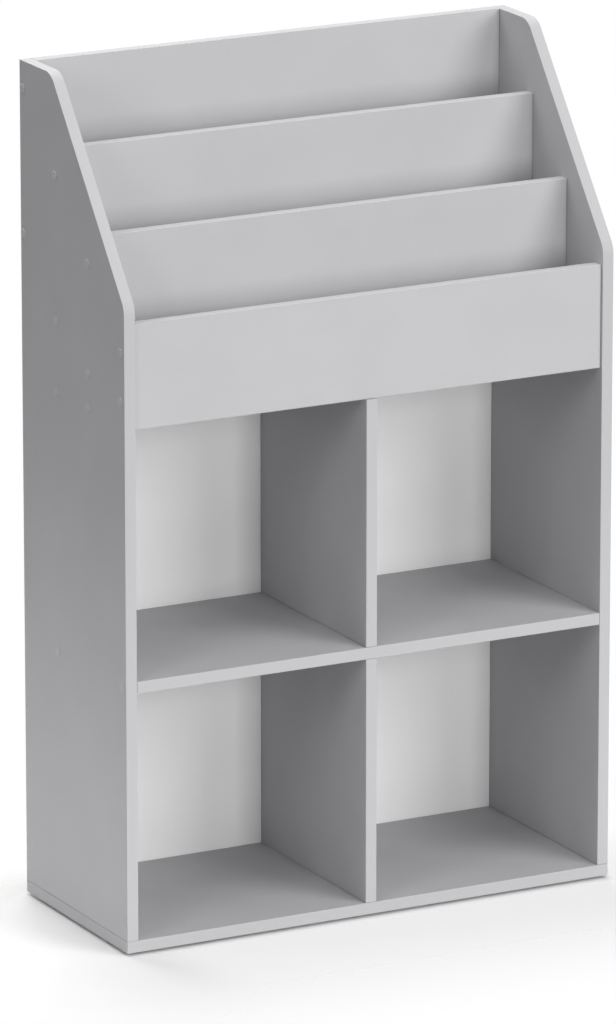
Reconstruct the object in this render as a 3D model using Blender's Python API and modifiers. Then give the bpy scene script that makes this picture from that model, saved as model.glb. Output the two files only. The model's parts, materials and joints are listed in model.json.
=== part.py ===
# Kids' bookcase of faced board: two rows of cubbies below, three stepped book pockets above.
# Metres, +Z up. The front faces -Y. The origin is on the floor, under the middle of the bookcase.
import math

import bmesh
import bpy
from mathutils import Vector

# Case
OVERALL_WIDTH = 0.720
SIDE_DEPTH = 0.300
BOARD = 0.016  # thickness of the faced board
CUBBY_HEIGHT = 0.336  # clear height of each row of cubbies
EDGE_ROUND = 0.0006  # radius of the banded edges

# Book pockets
FRONT_PANEL_HEIGHT = 0.140
FRONT_RECESS = 0.004  # front panel behind the front edges of the sides
POCKET_STEP = 0.097  # rise from the top edge of one panel to the next
POCKET_DEPTH = 0.155  # from a panel's top edge down to the floor behind it

# Outline of the sides
SLOPE_RISE = 0.023  # start of the slope above the front panel's top edge
TOP_FLAT = 0.092  # level stretch at the top, behind the slope
CORNER_RADIUS = 0.030

# Back sheet
BACK_SHEET = 0.003
BACK_MARGIN = 0.002  # set in from the case at the sides and at the bottom
BACK_LAP = 0.030  # overlap on the rear pocket panel

# Connecting screw, countersunk, with a hexagon socket
SCREW_LENGTH = 0.050
SCREW_HEAD_RADIUS = 0.005
SCREW_HEAD_HEIGHT = 0.004
SCREW_SHANK_RADIUS = 0.0035
SCREW_SHANK_END = 0.015
SCREW_CORE_RADIUS = 0.0025
SCREW_POINT = 0.002  # length of the tapered end
SOCKET_ACROSS_FLATS = 0.004
SOCKET_DEPTH = 0.003
HEAD_RECESS = 0.0005  # head below the face of the board
PANEL_SCREW_EDGE = 0.037  # screw to the top or bottom edge of a pocket panel
FLOOR_SCREW_INSET = 0.144  # screw to the end of a pocket floor
DIVIDER_SCREW_INSET = 0.075  # screw or dowel to the front and rear edges of a divider

# Dowel
DOWEL_RADIUS = 0.004
DOWEL_GRIP = 0.020  # length in each divider
DOWEL_CHAMFER = 0.001
DOWEL_END_ROOM = 0.001

# Glide with its pin
GLIDE_HEIGHT = 0.004
GLIDE_RADIUS = 0.011
GLIDE_CHAMFER = 0.001
GLIDE_PIN_RADIUS = 0.002
GLIDE_PIN_LENGTH = 0.010
GLIDE_INSET = 0.032  # middle of a glide to the edges of the base panel

# Fits
JOINT_GAP = 0.0003  # between the faces of two boards
BORE_CLEARANCE = 0.0003  # round a screw, dowel or pin in its hole

# Facets
SCREW_SEGMENTS = 10
DOWEL_SEGMENTS = 16
GLIDE_SEGMENTS = 20
CORNER_SEGMENTS = 10
EDGE_SEGMENTS = 2
SOCKET_SIDES = 6
WELD_DISTANCE = 0.00001
FLAT_ANGLE = math.radians(1)  # faces within this angle are one face
EDGE_ANGLE = math.radians(30)  # edges sharper than this are rounded, or stay sharp when shaded

# Places that follow from the sizes
POCKET_COUNT = 3
HALF_WIDTH = OVERALL_WIDTH / 2
HALF_CLEAR = HALF_WIDTH - BOARD  # middle of the case to the inner face of a side
HALF_SPAN = HALF_CLEAR - JOINT_GAP  # half the length of a board between the sides
FRONT_Y = -(SIDE_DEPTH + JOINT_GAP + BACK_SHEET) / 2

BASE_TOP = GLIDE_HEIGHT + BOARD
SHELF_BOTTOM = BASE_TOP + CUBBY_HEIGHT
SHELF_TOP = SHELF_BOTTOM + BOARD
POCKET_BASE_BOTTOM = SHELF_TOP + CUBBY_HEIGHT
POCKET_BASE_TOP = POCKET_BASE_BOTTOM + BOARD

PANEL_PITCH = (SIDE_DEPTH - FRONT_RECESS - BOARD) / POCKET_COUNT
PANEL_DEPTHS = [FRONT_RECESS + n * PANEL_PITCH for n in range(POCKET_COUNT + 1)]
FRONT_PANEL_TOP = POCKET_BASE_BOTTOM + FRONT_PANEL_HEIGHT
PANEL_TOPS = [FRONT_PANEL_TOP + n * POCKET_STEP for n in range(POCKET_COUNT + 1)]
CASE_TOP = PANEL_TOPS[-1]
MIDDLE_FLOOR_BOTTOM = PANEL_TOPS[1] - POCKET_DEPTH - BOARD
REAR_FLOOR_BOTTOM = PANEL_TOPS[2] - POCKET_DEPTH - BOARD

PANEL_ROWS = ("front", "second", "third", "rear")
PANEL_BOTTOMS = (
    POCKET_BASE_BOTTOM,
    POCKET_BASE_TOP + JOINT_GAP,
    MIDDLE_FLOOR_BOTTOM,
    REAR_FLOOR_BOTTOM,
)
PANELS = list(zip(PANEL_ROWS, PANEL_BOTTOMS, PANEL_TOPS, PANEL_DEPTHS))

# Depth of the middle of each pocket panel, where the sides are drilled
DRILL_DEPTHS = [depth + BOARD / 2 for depth in PANEL_DEPTHS]
DIVIDER_DEPTHS = {"front": DIVIDER_SCREW_INSET, "rear": SIDE_DEPTH - DIVIDER_SCREW_INSET}


def at_depth(depth):
    """World Y of a distance behind the front edges of the sides."""
    return FRONT_Y + depth


def new_collection(name, parent):
    collection = bpy.data.collections.new(name)
    parent.children.link(collection)
    return collection


def finish_material(name, colour, roughness, metallic):
    material = bpy.data.materials.new(name)
    material.use_nodes = True
    shader = material.node_tree.nodes["Principled BSDF"]
    shader.inputs["Base Color"].default_value = (*colour, 1.0)
    shader.inputs["Roughness"].default_value = roughness
    shader.inputs["Metallic"].default_value = metallic
    return material


for old in list(bpy.data.objects):
    bpy.data.objects.remove(old, do_unlink=True)

parts = new_collection("kids_bookcase", bpy.context.scene.collection)
cutters = new_collection("cutters", bpy.context.scene.collection)

GREY_BOARD = finish_material("grey_faced_board", (0.56, 0.56, 0.575), 0.5, 0.0)
WHITE_SHEET = finish_material("white_back_sheet", (0.80, 0.80, 0.80), 0.45, 0.0)
ZINC_STEEL = finish_material("zinc_plated_steel", (0.62, 0.62, 0.60), 0.35, 1.0)
BEECH = finish_material("beech_dowel", (0.60, 0.43, 0.27), 0.7, 0.0)
GLIDE_PLASTIC = finish_material("glide_plastic", (0.05, 0.05, 0.05), 0.5, 0.0)

bookcase = bpy.data.objects.new("kids_bookcase_origin", None)
parts.objects.link(bookcase)


def add_part(name, mesh, material):
    mesh.materials.clear()
    mesh.materials.append(material)
    part = bpy.data.objects.new(name, mesh)
    part.parent = bookcase
    parts.objects.link(part)
    return part


def round_edges(part):
    bevel = part.modifiers.new("banded_edges", "BEVEL")
    bevel.width = EDGE_ROUND
    bevel.segments = EDGE_SEGMENTS
    bevel.limit_method = "ANGLE"
    bevel.angle_limit = EDGE_ANGLE


def drill(part):
    """Gives a board its bores. What is linked to the returned collection is cut out of it."""
    bores = new_collection(part.name + "_bores", cutters)
    cut = part.modifiers.new("bores", "BOOLEAN")
    cut.operation = "DIFFERENCE"
    cut.solver = "EXACT"
    cut.operand_type = "COLLECTION"
    cut.collection = bores
    return bores


def box_mesh(name, size):
    mesh = bpy.data.meshes.new(name)
    form = bmesh.new()
    bmesh.ops.create_cube(form, size=1.0)
    bmesh.ops.scale(form, vec=size, verts=form.verts)
    form.to_mesh(mesh)
    form.free()
    return mesh


def add_box(name, x_range, depth_range, z_range, material):
    """A rectangular piece between two places on each axis, with depths from the front."""
    ranges = (x_range, [at_depth(depth) for depth in depth_range], z_range)
    size = [high - low for low, high in ranges]
    part = add_part(name, box_mesh(name, size), material)
    part.location = [(low + high) / 2 for low, high in ranges]
    return part


BORES = {}


def add_board(name, x_range, depth_range, z_range):
    board = add_box(name, x_range, depth_range, z_range, GREY_BOARD)
    round_edges(board)
    BORES[name] = drill(board)


def evaluated_mesh(source):
    bpy.context.view_layer.update()
    graph = bpy.context.evaluated_depsgraph_get()
    return bpy.data.meshes.new_from_object(source.evaluated_get(graph))


# A side is a flat outline. Its two obtuse corners are arcs, each between two tangent points.
def corner_arc(before, corner, after):
    """The two ends of a corner's arc, each with the handle that bends towards the other."""
    arriving = (corner - before).normalized()
    leaving = (after - corner).normalized()
    turn = arriving.angle(leaving)
    reach = CORNER_RADIUS * math.tan(turn / 2)
    handle = CORNER_RADIUS * 4 / 3 * math.tan(turn / 4)
    start = corner - arriving * reach
    end = corner + leaving * reach
    return (start, start + arriving * handle), (end, end - leaving * handle)


def side_outline():
    low = BASE_TOP + JOINT_GAP
    foot_front = Vector((0, low, 0))
    slope_foot = Vector((0, PANEL_TOPS[0] + SLOPE_RISE, 0))
    slope_head = Vector((SIDE_DEPTH - TOP_FLAT, CASE_TOP, 0))
    top_rear = Vector((SIDE_DEPTH, CASE_TOP, 0))
    foot_rear = Vector((SIDE_DEPTH, low, 0))
    lower_start, lower_end = corner_arc(foot_front, slope_foot, slope_head)
    upper_start, upper_end = corner_arc(slope_foot, slope_head, top_rear)
    # Each point: place, handle before it, handle after it. No handle means a straight run.
    return [
        (foot_front, None, None),
        (lower_start[0], None, lower_start[1]),
        (lower_end[0], lower_end[1], None),
        (upper_start[0], None, upper_start[1]),
        (upper_end[0], upper_end[1], None),
        (top_rear, None, None),
        (foot_rear, None, None),
    ]


def side_curve():
    curve = bpy.data.curves.new("side_outline", "CURVE")
    curve.dimensions = "2D"
    curve.fill_mode = "BOTH"
    curve.extrude = BOARD / 2
    curve.resolution_u = CORNER_SEGMENTS
    spline = curve.splines.new("BEZIER")
    outline = side_outline()
    spline.bezier_points.add(len(outline) - 1)
    for point, (place, before, after) in zip(spline.bezier_points, outline):
        point.co = place
        point.handle_left_type = "FREE" if before else "VECTOR"
        point.handle_right_type = "FREE" if after else "VECTOR"
        point.handle_left = before or place
        point.handle_right = after or place
    spline.use_cyclic_u = True
    return curve


def side_mesh(name):
    outline = bpy.data.objects.new("side_outline", side_curve())
    cutters.objects.link(outline)
    mesh = evaluated_mesh(outline)
    mesh.name = name
    bpy.data.objects.remove(outline, do_unlink=True)
    form = bmesh.new()
    form.from_mesh(mesh)
    bmesh.ops.remove_doubles(form, verts=form.verts, dist=WELD_DISTANCE)
    bmesh.ops.dissolve_limit(form, angle_limit=FLAT_ANGLE, verts=form.verts, edges=form.edges)
    form.to_mesh(mesh)
    form.free()
    return mesh


def add_side(name, side):
    panel = add_part(name, side_mesh(name), GREY_BOARD)
    panel.location = (side * (HALF_CLEAR + BOARD / 2), FRONT_Y, 0)
    panel.rotation_euler = (math.radians(90), 0, math.radians(90))
    round_edges(panel)
    BORES[name] = drill(panel)


# Turned pieces: a profile of radius and height, from the top down, turned about Z.
def turned_mesh(name, profile, segments):
    line = bpy.data.meshes.new(name)
    points = [(radius, 0, height) for radius, height in profile]
    runs = [(n, n + 1) for n in range(len(points) - 1)]
    line.from_pydata(points, runs, [])
    lathe = bpy.data.objects.new(name, line)
    cutters.objects.link(lathe)
    turn = lathe.modifiers.new("turned", "SCREW")
    turn.steps = segments
    turn.render_steps = segments
    turn.use_merge_vertices = True
    turn.merge_threshold = WELD_DISTANCE
    mesh = evaluated_mesh(lathe)
    bpy.data.objects.remove(lathe, do_unlink=True)
    mesh.name = name
    mesh.shade_smooth()
    mesh.set_sharp_from_angle(angle=EDGE_ANGLE)
    return mesh


def screw_profile(room, above):
    """Half section of a connecting screw, larger by room. Above is what a cutter adds over the head."""
    taper = SCREW_SHANK_RADIUS - SCREW_CORE_RADIUS
    tip = SCREW_LENGTH + room
    profile = [(0, above)]
    if above > 0:
        profile.append((SCREW_HEAD_RADIUS + room, above))
    profile += [
        (SCREW_HEAD_RADIUS + room, 0),
        (SCREW_SHANK_RADIUS + room, -SCREW_HEAD_HEIGHT),
        (SCREW_SHANK_RADIUS + room, -SCREW_SHANK_END),
        (SCREW_CORE_RADIUS + room, -SCREW_SHANK_END - taper),
        (SCREW_CORE_RADIUS + room, -tip + SCREW_POINT),
        (0, -tip),
    ]
    return profile


def screw_mesh():
    """A connecting screw along -Z, with its head's face at the origin and a hexagon socket in it."""
    body = bpy.data.objects.new("screw", turned_mesh("screw", screw_profile(0, 0), SCREW_SEGMENTS))
    socket = bpy.data.objects.new("socket", bpy.data.meshes.new("socket"))
    corner_radius = SOCKET_ACROSS_FLATS / 2 / math.cos(math.pi / SOCKET_SIDES)
    form = bmesh.new()
    bmesh.ops.create_cone(
        form,
        cap_ends=True,
        segments=SOCKET_SIDES,
        radius1=corner_radius,
        radius2=corner_radius,
        depth=2 * SOCKET_DEPTH,
    )
    form.to_mesh(socket.data)
    form.free()
    cutters.objects.link(body)
    cutters.objects.link(socket)
    cut = body.modifiers.new("socket", "BOOLEAN")
    cut.operation = "DIFFERENCE"
    cut.solver = "EXACT"
    cut.object = socket
    mesh = evaluated_mesh(body)
    mesh.name = "connecting_screw"
    bpy.data.objects.remove(body, do_unlink=True)
    bpy.data.objects.remove(socket, do_unlink=True)
    return mesh


def dowel_profile(room, end_room):
    half = BOARD / 2 + DOWEL_GRIP + end_room
    radius = DOWEL_RADIUS + room
    return [
        (0, half),
        (radius - DOWEL_CHAMFER, half),
        (radius, half - DOWEL_CHAMFER),
        (radius, -half + DOWEL_CHAMFER),
        (radius - DOWEL_CHAMFER, -half),
        (0, -half),
    ]


def glide_profile():
    return [
        (0, GLIDE_PIN_LENGTH),
        (GLIDE_PIN_RADIUS, GLIDE_PIN_LENGTH),
        (GLIDE_PIN_RADIUS, -JOINT_GAP),
        (GLIDE_RADIUS, -JOINT_GAP),
        (GLIDE_RADIUS, -GLIDE_HEIGHT + GLIDE_CHAMFER),
        (GLIDE_RADIUS - GLIDE_CHAMFER, -GLIDE_HEIGHT),
        (0, -GLIDE_HEIGHT),
    ]


def pin_bore_profile():
    radius = GLIDE_PIN_RADIUS + BORE_CLEARANCE
    top = GLIDE_PIN_LENGTH + BORE_CLEARANCE
    return [(0, top), (radius, top), (radius, -GLIDE_HEIGHT), (0, -GLIDE_HEIGHT)]


def add_bore(name, mesh, place, turn, boards):
    bore = bpy.data.objects.new(name + "_bore", mesh)
    bore.location = place
    bore.rotation_euler = turn
    bore.hide_render = True
    bore.display_type = "WIRE"
    for board in boards:
        BORES[board].objects.link(bore)


def add_fixing(name, mesh, bore_mesh, material, place, direction, boards):
    """A screw, dowel or glide whose own -Z points along direction, and its bore in each board."""
    turn = Vector((0, 0, -1)).rotation_difference(Vector(direction)).to_euler()
    fixing = add_part(name, mesh, material)
    fixing.location = place
    fixing.rotation_euler = turn
    add_bore(name, bore_mesh, place, turn, boards)


SCREW_MESH = screw_mesh()
SCREW_BORE = turned_mesh(
    "screw_bore", screw_profile(BORE_CLEARANCE, HEAD_RECESS + SCREW_HEAD_HEIGHT), SCREW_SEGMENTS
)
DOWEL_MESH = turned_mesh("dowel", dowel_profile(0, 0), DOWEL_SEGMENTS)
DOWEL_BORE = turned_mesh("dowel_bore", dowel_profile(BORE_CLEARANCE, DOWEL_END_ROOM), DOWEL_SEGMENTS)
GLIDE_MESH = turned_mesh("glide", glide_profile(), GLIDE_SEGMENTS)
PIN_BORE = turned_mesh("pin_bore", pin_bore_profile(), GLIDE_SEGMENTS)


def add_screw(name, face_point, direction, boards):
    """A screw driven along direction, its head just below the face it goes in through."""
    place = Vector(face_point) + Vector(direction) * HEAD_RECESS
    add_fixing(name, SCREW_MESH, SCREW_BORE, ZINC_STEEL, place, direction, boards)


# Boards of the case
SPAN = (-HALF_SPAN, HALF_SPAN)
FULL_DEPTH = (0, SIDE_DEPTH)
DIVIDER_X = (-BOARD / 2, BOARD / 2)

add_side("left_side_panel", -1)
add_side("right_side_panel", 1)
add_board("base_panel", (-HALF_WIDTH, HALF_WIDTH), FULL_DEPTH, (GLIDE_HEIGHT, BASE_TOP))
add_board("middle_shelf", SPAN, FULL_DEPTH, (SHELF_BOTTOM, SHELF_TOP))
add_board(
    "lower_divider", DIVIDER_X, FULL_DEPTH, (BASE_TOP + JOINT_GAP, SHELF_BOTTOM - JOINT_GAP)
)
add_board(
    "upper_divider", DIVIDER_X, FULL_DEPTH, (SHELF_TOP + JOINT_GAP, POCKET_BASE_BOTTOM - JOINT_GAP)
)

# Boards of the book pockets
POCKET_BASE_FRONT = PANEL_DEPTHS[0] + BOARD + JOINT_GAP
add_board(
    "pocket_base_shelf", SPAN, (POCKET_BASE_FRONT, SIDE_DEPTH), (POCKET_BASE_BOTTOM, POCKET_BASE_TOP)
)

for row, bottom, top, depth in PANELS:
    add_board(row + "_pocket_panel", SPAN, (depth, depth + BOARD), (bottom, top))

# Each floor runs from the panel in front of it to the panel that it is screwed to
POCKET_FLOORS = {
    "middle_pocket_floor": ("third_pocket_panel", PANEL_DEPTHS[1:3], MIDDLE_FLOOR_BOTTOM),
    "rear_pocket_floor": ("rear_pocket_panel", PANEL_DEPTHS[2:4], REAR_FLOOR_BOTTOM),
}
for floor, (panel, (front, rear), bottom) in POCKET_FLOORS.items():
    floor_depth = (front + BOARD + JOINT_GAP, rear - JOINT_GAP)
    add_board(floor, SPAN, floor_depth, (bottom, bottom + BOARD))

# Back sheet, nailed over the rear edges of the case and the foot of the rear panel
BACK_HALF_WIDTH = HALF_WIDTH - BACK_MARGIN
BACK_FRONT = SIDE_DEPTH + JOINT_GAP
add_box(
    "back_sheet",
    (-BACK_HALF_WIDTH, BACK_HALF_WIDTH),
    (BACK_FRONT, BACK_FRONT + BACK_SHEET),
    (GLIDE_HEIGHT + BACK_MARGIN, REAR_FLOOR_BOTTOM + BACK_LAP),
    WHITE_SHEET,
)

# Screws through the sides: two in each end of a pocket panel, the middle shelf and the pocket base
SIDE_SCREWS = {}
for (row, bottom, top, _), depth in zip(PANELS, DRILL_DEPTHS):
    SIDE_SCREWS[row + "_panel_upper"] = (row + "_pocket_panel", depth, top - PANEL_SCREW_EDGE)
    SIDE_SCREWS[row + "_panel_lower"] = (row + "_pocket_panel", depth, bottom + PANEL_SCREW_EDGE)
SHELF_MIDDLE = (SHELF_BOTTOM + SHELF_TOP) / 2
POCKET_BASE_MIDDLE = (POCKET_BASE_BOTTOM + POCKET_BASE_TOP) / 2
SIDE_SCREWS["shelf_front"] = ("middle_shelf", DRILL_DEPTHS[0], SHELF_MIDDLE)
SIDE_SCREWS["shelf_rear"] = ("middle_shelf", DRILL_DEPTHS[2], SHELF_MIDDLE)
SIDE_SCREWS["pocket_base_front"] = ("pocket_base_shelf", DRILL_DEPTHS[1], POCKET_BASE_MIDDLE)
SIDE_SCREWS["pocket_base_rear"] = ("pocket_base_shelf", DRILL_DEPTHS[2], POCKET_BASE_MIDDLE)

for hand, side in (("left", -1), ("right", 1)):
    for place, (board, depth, height) in SIDE_SCREWS.items():
        add_screw(
            f"{hand}_{place}_screw",
            (side * HALF_WIDTH, at_depth(depth), height),
            (-side, 0, 0),
            (f"{hand}_side_panel", board),
        )

# Screws up through the base, and down through the pocket base into the upper divider
SIDE_MIDDLE_X = HALF_CLEAR + BOARD / 2
BASE_SCREWS = {"left_side_panel": -SIDE_MIDDLE_X, "lower_divider": 0, "right_side_panel": SIDE_MIDDLE_X}
for place, depth in DIVIDER_DEPTHS.items():
    for board, x in BASE_SCREWS.items():
        add_screw(
            f"{board}_foot_{place}_screw",
            (x, at_depth(depth), GLIDE_HEIGHT),
            (0, 0, 1),
            ("base_panel", board),
        )
    add_screw(
        f"upper_divider_head_{place}_screw",
        (0, at_depth(depth), POCKET_BASE_TOP),
        (0, 0, -1),
        ("pocket_base_shelf", "upper_divider"),
    )

# Screws from behind through the third and rear panels into the pocket floors
FLOOR_SCREW_X = HALF_SPAN - FLOOR_SCREW_INSET
for floor, (panel, (_, rear), bottom) in POCKET_FLOORS.items():
    for hand, side in (("left", -1), ("right", 1)):
        add_screw(
            f"{floor}_{hand}_screw",
            (side * FLOOR_SCREW_X, at_depth(rear + BOARD), bottom + BOARD / 2),
            (0, -1, 0),
            (panel, floor),
        )

# Dowels through the middle shelf, in both dividers
for place, depth in DIVIDER_DEPTHS.items():
    add_fixing(
        f"divider_{place}_dowel",
        DOWEL_MESH,
        DOWEL_BORE,
        BEECH,
        (0, at_depth(depth), SHELF_MIDDLE),
        (0, 0, -1),
        ("lower_divider", "middle_shelf", "upper_divider"),
    )

# Glides under the corners and under the lower divider
GLIDE_X = HALF_WIDTH - GLIDE_INSET
for place, depth in (("front", GLIDE_INSET), ("rear", SIDE_DEPTH - GLIDE_INSET)):
    for hand, x in (("left", -GLIDE_X), ("middle", 0), ("right", GLIDE_X)):
        add_fixing(
            f"{place}_{hand}_glide",
            GLIDE_MESH,
            PIN_BORE,
            GLIDE_PLASTIC,
            (x, at_depth(depth), GLIDE_HEIGHT),
            (0, 0, -1),
            ("base_panel",),
        )
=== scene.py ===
import bpy
import json
from math import atan2, cos, pi, radians, sin
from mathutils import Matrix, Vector


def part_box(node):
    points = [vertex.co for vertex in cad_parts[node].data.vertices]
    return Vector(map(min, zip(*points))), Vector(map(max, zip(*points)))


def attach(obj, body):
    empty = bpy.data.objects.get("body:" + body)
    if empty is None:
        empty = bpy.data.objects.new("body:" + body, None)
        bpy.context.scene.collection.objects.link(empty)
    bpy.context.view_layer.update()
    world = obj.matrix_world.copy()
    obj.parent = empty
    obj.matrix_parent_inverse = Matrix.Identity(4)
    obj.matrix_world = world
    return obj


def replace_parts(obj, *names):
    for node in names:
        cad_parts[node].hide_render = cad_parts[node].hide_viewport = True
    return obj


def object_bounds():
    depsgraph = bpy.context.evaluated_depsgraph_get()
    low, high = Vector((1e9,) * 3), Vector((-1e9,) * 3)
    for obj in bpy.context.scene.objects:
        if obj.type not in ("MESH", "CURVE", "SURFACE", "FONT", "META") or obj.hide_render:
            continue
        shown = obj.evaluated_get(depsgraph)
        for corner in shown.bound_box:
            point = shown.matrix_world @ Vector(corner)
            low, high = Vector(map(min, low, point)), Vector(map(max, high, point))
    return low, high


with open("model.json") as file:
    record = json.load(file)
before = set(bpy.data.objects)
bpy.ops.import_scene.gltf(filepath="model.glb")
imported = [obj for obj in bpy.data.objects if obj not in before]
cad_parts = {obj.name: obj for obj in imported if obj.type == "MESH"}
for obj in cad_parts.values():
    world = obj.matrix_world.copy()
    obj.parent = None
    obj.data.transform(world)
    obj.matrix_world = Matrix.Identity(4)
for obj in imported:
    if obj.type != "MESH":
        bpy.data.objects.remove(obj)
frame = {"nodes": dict(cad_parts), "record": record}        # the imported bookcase, which stays as it is
cadLow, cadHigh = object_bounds()
middle = (cadLow + cadHigh) / 2
nodes = frame["nodes"]
slotOf = {part["node"]: part["material_slot"] for part in frame["record"]["subparts"]}
print("bookcase loaded:", len(nodes), "nodes")


# Camera, to the left of the bookcase and above it
cameraView = {
    "lens": 300.0,          # mm, long as in a catalogue shot
    "turn": 27.76,          # degrees round to the left
    "down": 15.49,          # degrees below level
    "distance": 11.267,     # to the aim
    "aim": (-0.0174, -0.0056, -0.0472),     # from the middle of the bookcase
    "clipEnd": 100.0,
}


def addCamera():
    turn = radians(cameraView["turn"])
    down = radians(cameraView["down"])
    look = Vector((sin(turn) * cos(down), cos(turn) * cos(down), -sin(down)))
    aim = middle + Vector(cameraView["aim"])
    data = bpy.data.cameras.new("photoCamera")
    data.lens = cameraView["lens"]
    data.clip_end = cameraView["clipEnd"]
    camera = bpy.data.objects.new("photoCamera", data)
    camera.location = aim - look * cameraView["distance"]
    camera.rotation_euler = look.to_track_quat("-Z", "Y").to_euler()
    bpy.context.scene.collection.objects.link(camera)
    bpy.context.scene.camera = camera


addCamera()
bpy.context.scene.view_settings.view_transform = "Standard"
print("camera set")


# Node helpers: an input takes a plain value or another node's output
origin = (0.0, 0.0, 0.0)


def feed(tree, target, value):
    if isinstance(value, bpy.types.NodeSocket):
        tree.links.new(value, target)
    else:
        target.default_value = value


def addNode(tree, kind, inputs=None, **settings):
    made = tree.nodes.new("ShaderNode" + kind)
    for name, value in settings.items():
        setattr(made, name, value)
    for name, value in (inputs or {}).items():
        feed(tree, made.inputs[name], value)
    return made


def calc(tree, operation, *values):
    return addNode(tree, "Math", dict(enumerate(values)), operation=operation).outputs[0]


def vectorCalc(tree, operation, *values):
    made = addNode(tree, "VectorMath", dict(enumerate(values)), operation=operation)
    return made.outputs["Value" if operation in ("DOT_PRODUCT", "LENGTH") else "Vector"]


def fadeBetween(tree, value, start, end, low=0.0, high=1.0):
    ends = {"Value": value, "From Min": start, "From Max": end, "To Min": low, "To Max": high}
    return addNode(tree, "MapRange", ends, interpolation_type="SMOOTHSTEP").outputs["Result"]


def mixColours(tree, factor, first, second):
    return addNode(tree, "Mix", {0: factor, 6: first, 7: second}, data_type="RGBA").outputs[2]


def mixValues(tree, factor, first, second):
    return addNode(tree, "Mix", {0: factor, 2: first, 3: second}, data_type="FLOAT").outputs[0]


def noise(tree, place, scale, detail=2.0, roughness=0.5):
    inputs = {"Vector": place, "Scale": scale, "Detail": detail, "Roughness": roughness}
    return addNode(tree, "TexNoise", inputs).outputs["Fac"]


def stretched(tree, place, scale, turn=origin):
    return addNode(tree, "Mapping", {"Vector": place, "Scale": scale, "Rotation": turn}).outputs["Vector"]


def grey(level):
    return (level, level, level, 1.0)


def shownRays(tree):      # what the camera sees, straight, mirrored or through something
    rays = addNode(tree, "LightPath").outputs
    seen = calc(tree, "MAXIMUM", rays["Is Camera Ray"], rays["Is Glossy Ray"])
    return calc(tree, "MAXIMUM", seen, rays["Is Transmission Ray"])


# World: white where it is looked at or mirrored, a soft grey light otherwise
studio = {
    "white": grey(1.0),
    "ambient": (0.98, 0.985, 1.0, 1.0),
    "ambientStrength": 0.044,
}


def addWorld():
    world = bpy.data.worlds.new("studio")
    bpy.context.scene.world = world
    world.use_nodes = True
    tree = world.node_tree
    tree.nodes.clear()
    soft = {"Color": studio["ambient"], "Strength": studio["ambientStrength"]}
    ambient = addNode(tree, "Background", soft)
    white = addNode(tree, "Background", {"Color": studio["white"], "Strength": 1.0})
    mix = addNode(tree, "MixShader", {0: shownRays(tree), 1: ambient.outputs[0], 2: white.outputs[0]})
    addNode(tree, "OutputWorld", {"Surface": mix.outputs[0]})


# Soft boxes: turn to the right of the front, rise above level, distance from the middle, power in watts
softBoxes = {
    "frontTall": {"turn": 0, "rise": 8, "distance": 10.0, "size": (2.6, 5.0), "power": 460.0},
    "keyWide": {"turn": 30, "rise": 22, "distance": 8.0, "size": (4.2, 3.4), "power": 380.0},
    "leftSide": {"turn": -60, "rise": 25, "distance": 5.0, "size": (1.6, 2.0), "power": 47.0},
    "leftRear": {"turn": -100, "rise": 40, "distance": 5.0, "size": (2.0, 2.0), "power": 35.0},
    "topFront": {"turn": 0, "rise": 72, "distance": 5.0, "size": (2.4, 2.4), "power": 81.0},
    "rearHigh": {"turn": 180, "rise": 55, "distance": 4.2, "size": (3.0, 2.6), "power": 181.0},
    "floorStrip": {"turn": -90, "rise": -16.35, "distance": 1.667, "size": (0.8, 0.16), "power": 0.245,
                   "aim": (0.0, 0.0, 0.12), "spread": 50},     # the glow from the floor on the left side
}


def addSoftBox(name, box):
    data = bpy.data.lights.new(name, "AREA")
    data.shape = "RECTANGLE"
    data.size, data.size_y = box["size"]
    data.energy = box["power"]
    data.spread = radians(box.get("spread", 180))
    lamp = bpy.data.objects.new(name, data)
    turn, rise = radians(box["turn"]), radians(box["rise"])
    away = Vector((sin(turn) * cos(rise), -cos(turn) * cos(rise), sin(rise)))
    lamp.location = middle + away * box["distance"]
    aim = Vector(box.get("aim", middle))
    lamp.rotation_euler = (aim - lamp.location).to_track_quat("-Z", "Y").to_euler()
    bpy.context.scene.collection.objects.link(lamp)


# Floor: a pale disc, which the camera sees fade into the white round the bookcase
floorDisc = {
    "radius": 1.35,
    "fade": (0.04, 0.42),           # from here to here outside the bookcase's footprint
    "rearFade": (-0.05, 0.11),      # the same behind it
    "paintedShadowLift": 0.55,                   # painted light: white the camera sees over the floor's shadow beside the bookcase, lightening it
    "contact": (0.0, 0.013),        # from here to here past its edge the painted lightening comes in, so the gap under the base keeps its shade
    "leftShade": (-0.40, -0.25),    # from here to here, left to right, the painted lightening comes in beside the left shadow
    "colour": grey(0.775),
    "sides": 96,
}


def addFloor():
    bpy.ops.object.select_all(action="DESELECT")
    bpy.ops.mesh.primitive_circle_add(
        vertices=floorDisc["sides"], radius=floorDisc["radius"], fill_type="NGON", location=(0, 0, 0)
    )
    floor = bpy.context.object
    floor.name = "studio_floor"
    floor.data.materials.append(floorMaterial())


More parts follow.
